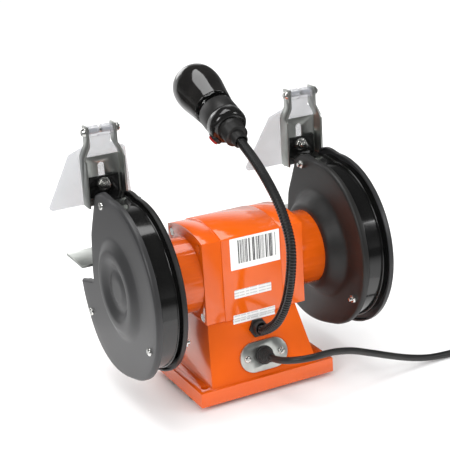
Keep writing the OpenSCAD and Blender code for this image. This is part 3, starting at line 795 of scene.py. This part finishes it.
def make_plug():
    """Moulded plug: super-ellipse sections along its length, from the cord's sleeve to the
    flat face, with grip waists at the sides; two round pins with soft tips."""
    t = np.linspace(0, 1, 46)
    y = PLUG_TAIL + (PLUG_FACE - PLUG_TAIL) * t
    grow = ease((t - 0.26) / 0.2)
    half_x = 4.7 + 3.3 * ease(t / 0.3) + 7.6 * grow - 1.6 * np.exp(-(((t - 0.68) / 0.1) ** 2))
    half_z = 4.7 + 3.0 * ease(t / 0.3) + 5.5 * grow
    square = 2 + 2.2 * grow
    ribs = 0.5 * (np.sin(t * 2 * np.pi * 26) > 0.2) * (t < 0.3) * (t > 0.03)
    a = np.linspace(0, 2 * np.pi, 56, endpoint=False)
    c, s = np.cos(a)[None], np.sin(a)[None]
    reach = (np.abs(c) ** square[:, None] + np.abs(s) ** square[:, None]) ** (-1 / square[:, None])
    grid = np.stack(
        [
            PLUG[0] + (half_x - ribs)[:, None] * reach * c,
            np.repeat(PLUG[1] + y[:, None], len(a), 1),
            PLUG[2] + 0.1 + (half_z - ribs)[:, None] * reach * s,
        ],
        2,
    )
    face = grid[-1:] + (PLUG + PLUG_FACE * Y - grid[-1:]) * [0.12, 0, 0.12]
    face[..., 1] = PLUG[1] + PLUG_FACE
    grid = np.concatenate([grid, face])
    body = surface("plug_body", (grid, "v caps"), "black_plastic", "frame", ("plug",))
    pin = [(36, 0), (36, 2.4), (55.2, 2.4), (56.3, 2.0), (57, 1.2), (57, 0)]
    pins = [turned(pin, PLUG + [x, 0, 0], Y, 24) for x in (-9.5, 9.5)]
    return body, surface("plug_pins", pins, "bright_steel", "frame")


# ---- guards ----

GUARD_RADIUS = 90
GUARD_FRONT = -72
INNER_FACE, INNER_RIM = 95, 101
OUTER_FACE, OUTER_RIM = 129, 123
PRESSED_EDGE = 58
GUARD_SCREWS = ((-26, 79), (67.4, -38.9), (-84, -52))


def guard_radius(angle, inset):
    """Radius of the guard's outline: round, swelling at the lower front and a little at the top."""
    swell = 21 * ease((-75 - angle) / 65) + 6 * ease((angle - 92) / 18)
    return GUARD_RADIUS - inset + swell


def guard_outline(inset, count=260):
    """The arc of the guard closed by its straight front edge, corners eased."""
    angle = np.linspace(-168, 118, 200)
    way = np.radians(angle)
    arc = guard_radius(angle, inset)[:, None] * np.stack([np.cos(way), np.sin(way)], 1)
    edge = GUARD_FRONT + inset
    front = np.array([(edge + 6, 40), (edge, 0), (edge, -13 - inset / 3)])
    line = np.vstack([arc, front])
    cut = np.full(len(line), 0.3)
    cut[[0, len(arc) - 1, len(arc), len(arc) + 2]] = 4
    return evenly(rounded(line, cut), count)


def ring_at(x, line):
    """A ring of points in y and z, at one x or at one x for each point."""
    return np.column_stack([np.broadcast_to(x, len(line)), line])


def guard_cover(side, inset, flat_x, rim_x, dish, start, bend=3.2, sheet=1.5):
    """Rings of one pressed cover. From the start radius to the pressed edge the height follows
    the dish function of the radius; then the flat reaches out to the outline, turns round the
    bend and runs along the rim; the same rings, a sheet's thickness inside, come back."""
    outline = guard_outline(inset)
    normal = outward(outline)
    way = unit(outline)
    face = 1 if rim_x < flat_x else -1
    y, z = outline.T
    rim = ease((y + 43) / 6) + ease((-z - 14) / 6) * (1 - ease((-y - 92) / 4))
    rim = np.clip(rim, 0, 1)
    deep = bend + (abs(flat_x - rim_x) - bend) * rim
    rings = []
    for inside in (0.0, sheet):
        level = flat_x - face * inside
        half = []
        for r in np.linspace(start, PRESSED_EDGE, 36):
            half.append(ring_at(level + face * dish(r), r * way))
        edge = outline - bend * normal
        for share in (0.25, 0.5, 0.75, 1.0):
            half.append(ring_at(level, PRESSED_EDGE * way * (1 - share) + edge * share))
        small = bend - inside
        for t in np.linspace(0, np.pi / 2, 6)[1:]:
            at = outline - (inside + small * (1 - math.sin(t))) * normal
            half.append(ring_at(flat_x - face * (bend - small * math.cos(t)), at))
        half.append(ring_at(flat_x - face * deep, outline - inside * normal))
        rings += half if not inside else half[::-1]
    grid = np.stack(rings)
    grid[..., 0] *= side
    grid[..., 2] += SHAFT_HEIGHT
    return grid, "v" if start == 0 else "uv"


def pressed(r):
    """Height of the ring and dimple pressed into the outer cover."""
    return 2 * ease((24 - r) / 14) + 5 * ease((r - 20) / 14) * (1 - ease((r - 38) / 14))


def dished(r):
    """The dish of the inner cover, up to the end of the motor."""
    return 15 * (1 - ease((r - 40.5) / 17.5))


def guard_band(side):
    """The band round the wheel: a strip with a rolled bead beside each cover, carried round
    the outline of the guard."""
    bead = [(8 - 1.0 * math.sin(a), -math.cos(a)) for a in np.linspace(0, np.pi, 9)]
    section = [(9.5, 96.5), (8, 96.5)] + [(i, 103.6 + x) for i, x in bead]
    section += [(i, 120.6 + x) for i, x in bead] + [(8, 127.5), (9.5, 127.5)]
    angle = np.linspace(-162, 112, 220)
    way = np.radians(angle)
    grid = np.stack(
        [
            np.stack(
                [
                    np.full(220, side * x),
                    guard_radius(angle, inset) * np.cos(way),
                    SHAFT_HEIGHT + guard_radius(angle, inset) * np.sin(way),
                ],
                1,
            )
            for inset, x in section
        ],
        1,
    )
    return grid, "v caps"


def hexagon(radius, turn=0.0):
    """Outline of a nut, with its corners just eased."""
    a = np.radians(turn + 60 * np.arange(6))
    return rounded(radius * np.stack([np.cos(a), np.sin(a)], 1), 0.35, 3)


def rod(x0, x1, radius, y, z, side=1, edge=0.4, count=40):
    """A rod along the shaft's direction with eased ends."""
    line = [(x0, 0), (x0, radius - edge), (x0 + edge, radius)]
    line += [(x1 - edge, radius), (x1, radius - edge), (x1, 0)]
    return turned(np.array(line) * [side, 1], (0, y, z), X, count)


def make_guards():
    """Two covers and a band for each wheel, and the long screws that hold them."""
    for side, name in SIDES:
        covers = (
            ("outer", (0, OUTER_FACE, OUTER_RIM, pressed, 0.0), "satin_cover"),
            ("inner", (3, INNER_FACE, INNER_RIM, dished, 12.0), "black_paint"),
        )
        for which, shape, finish in covers:
            nodes = (name + which + "_guard",)
            grid = guard_cover(side, *shape)
            surface(name + which + "_cover", grid, finish, "frame", nodes, sharp=60)
        nodes = (name + "guard_band",)
        surface(name + "band", guard_band(side), "gloss_black", "frame", nodes, sharp=50)
    screws, nuts = [], []
    for side, _ in SIDES:
        for k, (y, up) in enumerate(GUARD_SCREWS):
            z = SHAFT_HEIGHT + up
            screws += slotted_head((side * OUTER_FACE, y, z), side * X, 4, 2.4, 0.5 + 1.1 * k)
            screws.append(rod(88, OUTER_FACE - 1, 2, y, z, side))
            grip = facing(np.array([0, y, z]), Y, Z, side * X)
            nuts.append(plate(hexagon(4.4, 20 * k), INNER_FACE - 3.5, INNER_FACE, grip, 0.4))
    surface("guard_screws", screws, "bright_steel", "frame", ("guard_screws",), sharp=40)
    surface("guard_screw_nuts", nuts, "bright_steel", "frame", even=True)


# ---- wheels ----


WHEEL_FACES = 101, 117
WHEEL_RADIUS, WHEEL_BORE = 75, 6.4


def make_wheels():
    """A coarse wheel on the right and a fine one on the left, each with a bore."""
    near, far = WHEEL_FACES
    rim = WHEEL_RADIUS - 0.8
    line = [(near, WHEEL_BORE), (near, rim), (near + 0.8, WHEEL_RADIUS)]
    line += [(far - 0.8, WHEEL_RADIUS), (far, rim), (far, WHEEL_BORE)]
    line = np.array(rounded(line, 0.5, 3))
    for (side, name), kind in zip(SIDES, ("coarse_stone", "fine_stone")):
        grid = turned(line * [side, 1], (0, 0, SHAFT_HEIGHT), X, 128)[0]
        surface(name + "grinding_wheel", (grid, "uv"), kind, "spindle", (name + "wheel",))
        eased(name + "flanges", "bright_steel", 0.6)
        eased(name + "nut", "bright_steel", 0.5)


# ---- lamp ----

NECK_KNOTS = np.array(
    [
        on_slope(2, 68, 3), on_slope(2, 68, 16), (-1.5, 76, 86), (-5, 90, 111), (-7, 98, 143),
        (-9, 96, 172), (-8.5, 84, 198), (-7, 66, 219), (-6.5, 38, 238), (-7, 1.5, 254),
    ]
)
LAMP = NECK_KNOTS[-1]
LAMP_WAY = unit(np.array([0, -0.932, 0.362]))
RIDGE = 2.9


def make_neck():
    """Flexible steel neck: a tube whose radius rises and falls once per turn of a helix. It is
    cut halfway between the bends into four lengths."""
    t = np.linspace(0, 9, 3000)
    line = through(NECK_KNOTS, t)
    way = np.concatenate([[0], np.cumsum(np.linalg.norm(np.diff(line, axis=0), axis=1))])
    count = int(way[-1] / RIDGE * 12)
    at = np.linspace(0, way[-1], count)
    t = np.interp(at, way, t)
    line = np.stack([np.interp(at, way, line[:, k]) for k in range(3)], 1)
    around = np.arange(20) / 20
    phase = at[:, None] / RIDGE - around[None]
    radius = 4.05 + 0.95 * np.abs(np.sin(np.pi * phase)) ** 0.7
    grid = tube(line, radius, 20)[0]
    lengths = (
        ("neck_lower", 0, 4, "frame", "neck_lower", 3, ("neck_part_1",)),
        ("neck_middle", 4, 6, "neck_lower", "neck_middle", 5, ("neck_part_2",)),
        ("neck_upper", 6, 7.5, "neck_middle", "neck_upper", 7, ("neck_part_3",)),
        ("neck_end", 7.5, 9, "neck_upper", "lamp", 8, ("neck_part_4", "neck_part_5")),
    )
    for name, first, last, one, other, knot, nodes in lengths:
        a, b = np.searchsorted(t, (first, last))
        b = min(b + 1, count)
        piece = surface(name + "_hose", (grid[a:b], "v caps"), "neck_hose", None, nodes, sharp=75)
        reach = 0.38 if knot > 6 else 0.45
        start, end = through(NECK_KNOTS, np.array([knot - reach, knot + reach])) * MM
        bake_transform(piece)


def on_lamp(name, profile, finish, nodes=(), count=72, bored=True, **more):
    """A profile turned round the lamp's axis. A bored part is closed along its profile too."""
    grid, close = turned(profile, LAMP, LAMP_WAY, count)
    surface(name, (grid, "uv" if bored else close), finish, "lamp", nodes, **more)


def make_lamp():
    """Holder, button and reflector bulb. Profiles count millimetres from the neck's end along
    the lamp's axis, then out from it; the button's count out from that axis."""
    sleeve = [(-9, 6.3), (-9, 7.2), (-8.6, 7.6), (-0.5, 7.6), (0, 8), (0, 11.2), (0.8, 12)]
    sleeve += [(13.2, 12), (14, 12.8), (14, 13.2), (13.6, 13.2), (0.3, 6.3)]
    on_lamp("holder_collar", sleeve, "black_plastic", ("lamp_holder",), sharp=50)
    bend = np.linspace(0, np.pi / 2, 12)
    shoulder = [(14.2, 10)] + [(20.2 - 6 * math.cos(a), 14.2 + 5.3 * math.sin(a)) for a in bend]
    shoulder += [(27.6, 19.5), (28, 19.1), (28, 10)]
    holder = {"count": 96, "sharp": 50, "slot": "black_plastic"}
    on_lamp("holder_shoulder", shoulder, "gloss_black", **holder)
    barrel = [(28.1, 10), (28.1, 18.8), (28.5, 19.3), (45.2, 19.3), (46, 18.9), (46, 17.9)]
    barrel += [(45.6, 17.5), (29, 17.5), (29, 10)]
    on_lamp("holder_barrel", barrel, "black_plastic", **holder)

    out = unit(X - np.cross(LAMP_WAY, X))
    seat = LAMP + 20 * LAMP_WAY
    ring = [(16, 5.7), (18.6, 5.7), (19.4, 6.2), (19.4, 6.9), (18.6, 7.4), (16, 7.4)]
    grid = turned(ring, seat, out, 48)[0], "uv"
    surface("button_ring", grid, "black_plastic", "lamp", sharp=40, slot="black_plastic")
    button = [(8, 0), (8, 5.6), (20.6, 5.6), (21.4, 5.2), (21.9, 4.2), (22, 0)]
    grid = turned(button, seat, out, 48)
    surface("push_button", grid, "red_plastic", "lamp_switch", ("lamp_button",), sharp=50)

    head = [(53, 20.2), (58, 21.05), (63, 21.8), (68, 22.6), (74, 23.6), (80, 24.5), (86, 24.95)]
    head += [(91, 24.9), (97, 24.1), (102.5, 22.2), (107.5, 18.7), (111.5, 13.6), (114, 7.2)]
    head = np.array(head + [(114.9, 0)])
    curve = through(head, np.linspace(0, len(head) - 1, 90))
    curve[-1, 1] = 0
    profile = np.vstack([[(52.6, 0), (52.6, 19.6)], curve])
    on_lamp("bulb_head", profile, "black_glass", ("bulb",), 96, bored=False, sharp=60)
    neck = [(30, 0), (30, 12.4), (30.6, 13), (41, 13), (44, 15), (46.6, 17), (48.6, 19)]
    neck += [(50.5, 19.9), (52.4, 20.15), (52.5, 19.6), (52.5, 0)]
    on_lamp("bulb_neck", neck, "bulb_glass", bored=False, slot="clear_plastic", sharp=60)


# ---- everything else ----


def paper(name, grid, finish):
    """A paper label. No CAD node stands behind it."""
    surface(name, grid, finish, "frame", slot="capacitor_case")


def make_labels():
    """Thin paper labels on the rear of the motor and the pedestal, all without lettering. The
    lowest one follows the housing's edge over its seam and on to the pedestal's slope."""
    rear = facing(np.array([0, 40.0, SHAFT_HEIGHT]), X, Z, Y)

    def card(x0, x1, z0, z1):
        corners = [(x0, z0), (x1, z0), (x1, z1), (x0, z1)]
        return plate(rounded(corners, 0.8, 4), 0.02, 0.16, rear, 0.05, 2)

    paper("striped_label", card(-27.5, 27, 9.5, 42), "striped_label")
    paper("small_label", card(-16, 25, -20.5, -11.5), "plain_label")
    fold = [(40.02, -37.5), (40.02, -42.02), (39.1, -42.3), (38.3, -42.4), (39.25, -47.2)]
    fold = np.array(fold)
    over = fold + [(0.14, 0), (0.14, -0.1), (0.1, -0.14), (0.14, 0.0), (0.14, 0)]
    line = np.vstack([fold, over[::-1]]) + [0, SHAFT_HEIGHT]
    grid = np.stack([ring_at(x, line) for x in (-19, 27.5)])
    paper("folded_label", (grid, "v caps"), "plain_label")


KNOB_Y, KNOB_Z = -100, 112


def make_knobs():
    """Clamp knob of each tool rest: a disc with eight shallow flutes, on its bolt."""
    a = np.linspace(0, 2 * np.pi, 160, endpoint=False)
    radius = 10 - 0.85 * np.clip(np.cos(8 * a), 0, 1) ** 1.5
    outline = radius[:, None] * np.stack([np.cos(a), np.sin(a)], 1)
    grids = []
    for side, _ in SIDES:
        grip = facing(np.array([0, KNOB_Y, KNOB_Z]), Y, Z, side * X)
        grids.append(plate(outline, 76, 86.6, grip, 1.4, 6))
        grids.append(rod(86.4, 88.1, 7, KNOB_Y, KNOB_Z, side))
        grids.append(rod(86, 94.6, 3, KNOB_Y, KNOB_Z, side))
        grids.append(plate(hexagon(6.0), 95, 99, grip, 0.5))
    surface("rest_knobs", grids, "black_plastic", "frame", ("rest_bolts",), even=True)


def make_small_screws():
    """Slotted screws of the gland plate and of the tool rest arms."""
    gland = []
    for k, x in enumerate((-19, 19)):
        gland += slotted_head(on_slope(x, 40, 2.5), SLOPE_OUT, 3.6, 2.2, 0.7 + k)
    surface("gland_plate_screws", gland, "bright_steel", "frame", ("gland_screws",), sharp=40)
    arms = []
    for side, _ in SIDES:
        for k, up in enumerate((-44, -56)):
            z = SHAFT_HEIGHT + up
            arms += slotted_head((side * 92, -66, z), -side * X, 3.8, 2.2, 0.4 + k)
            arms.append(rod(92, 94.9, 1.95, -66, z, side))
    surface("rest_arm_screws", arms, "bright_steel", "frame", ("arm_screws",), sharp=40)


EASED = (
    ("base_casting", "orange_enamel", 1.4),
    ("motor_housing", "orange_enamel", 0.8),
    ("right_end_bell", "orange_enamel", 0.9),
    ("left_end_bell", "orange_enamel", 0.9),
    ("bottom_plate", "dark_steel", 0.3),
    ("rubber_feet", "rubber", 0.8),
    ("switch_body", "black_plastic", 0.6),
    ("switch_rocker", "red_plastic", 0.5),
    ("gland_plate", "zinc_plate", 0.6),
    ("neck_collar", "black_plastic", 0.5),
    ("clamp_bolts", "bright_steel", 0.4),
)
EASED_PAIRS = (
    ("shield_tab", "gloss_black", 0.4),
    ("shield_bracket", "zinc_plate", 0.35),
    ("hinge_bolt", "bright_steel", 0.5),
    ("shield", "clear_plastic", 0.4),
    ("tool_rest", "zinc_plate", 0.5),
    ("rest_arm", "gloss_black", 0.5),
)
INSIDE = {
    "plate_screws": "bright_steel",
    "through_bolts": "bright_steel",
    "stator_core": "core_steel",
    "windings": "copper",
    "rotor": "core_steel",
    "shaft": "shaft_steel",
    "bearings": "shaft_steel",
    "capacitor": "capacitor_case",
    "cover_bolts": "bright_steel",
}


def make_plain_parts():
    """Pieces that keep the CAD solid's shape, and the finishes of the solids inside."""
    for node, finish, width in EASED:
        eased(node, finish, width)
    for node, finish, width in EASED_PAIRS:
        for _, side in SIDES:
            eased(side + node, finish, width)
    for node, finish in INSIDE.items():
        mesh = frame["nodes"][node].data
        mesh.materials.clear()
        mesh.materials.append(FINISHES[finish])


def make_floor():
    """A large square floor under everything."""
    mesh = bpy.data.meshes.new("floor")
    far = 9.0
    corners = [(-far, -far, 0), (far, -far, 0), (far, far, 0), (-far, far, 0)]
    mesh.from_pydata(corners, [], [(0, 1, 2, 3)])
    floor = bpy.data.objects.new("floor", mesh)
    mesh.materials.append(FINISHES["studio_floor"])
    bpy.context.collection.objects.link(floor)


set_camera()
make_finishes()
make_cord()
make_guards()
make_wheels()
make_neck()
make_lamp()
make_labels()
make_knobs()
make_small_screws()
make_plain_parts()
set_light()
make_surroundings()
make_floor()
